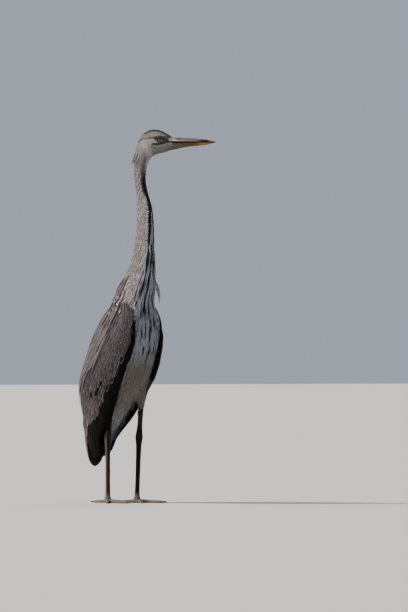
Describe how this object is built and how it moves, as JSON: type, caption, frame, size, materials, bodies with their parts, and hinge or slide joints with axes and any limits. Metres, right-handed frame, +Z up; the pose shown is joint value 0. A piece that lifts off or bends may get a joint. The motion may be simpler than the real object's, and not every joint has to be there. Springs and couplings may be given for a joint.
{
  "type": "grey heron",
  "caption": "Young grey heron standing tall on both feet, neck raised and head turned to its left, as a still life-size model.",
  "frame": {"origin": "middle of the bounding box, on the floor under the feet", "axes": "+Z up, +X the way the breast faces, +Y the bird's left; the head is turned 48 degrees from +X towards +Y"},
  "size_m": [0.3141, 0.2288, 0.9334],
  "materials": {
    "feathers_body": "matte plumage",
    "feathers_wing": "matte plumage",
    "feathers_tail": "matte plumage",
    "eye": "wet gloss",
    "bill": "satin horn",
    "leg_skin": "scaly satin",
    "claw": "satin horn"
  },
  "bodies": {
    "root": {"head": "feathers_body", "neck_upper": "feathers_body", "neck_middle": "feathers_body", "neck_lower": "feathers_body", "trunk": "feathers_body", "thigh_left": "feathers_body", "thigh_right": "feathers_body", "neck_plume": "feathers_body", "wing_left": "feathers_wing", "wing_right": "feathers_wing", "tail": "feathers_tail", "eye_left": "eye", "eye_right": "eye", "bill_upper": "bill", "bill_lower": "bill", "tibia_left": "leg_skin", "tarsus_left": "leg_skin", "foot_left": "leg_skin", "toe_left_middle": "leg_skin", "claw_left_middle": "claw", "toe_left_outer": "leg_skin", "claw_left_outer": "claw", "toe_left_inner": "leg_skin", "claw_left_inner": "claw", "toe_left_hind": "leg_skin", "claw_left_hind": "claw", "tibia_right": "leg_skin", "tarsus_right": "leg_skin", "foot_right": "leg_skin", "toe_right_middle": "leg_skin", "claw_right_middle": "claw", "toe_right_outer": "leg_skin", "claw_right_outer": "claw", "toe_right_inner": "leg_skin", "claw_right_inner": "claw", "toe_right_hind": "leg_skin", "claw_right_hind": "claw"}
  },
  "joints": []
}
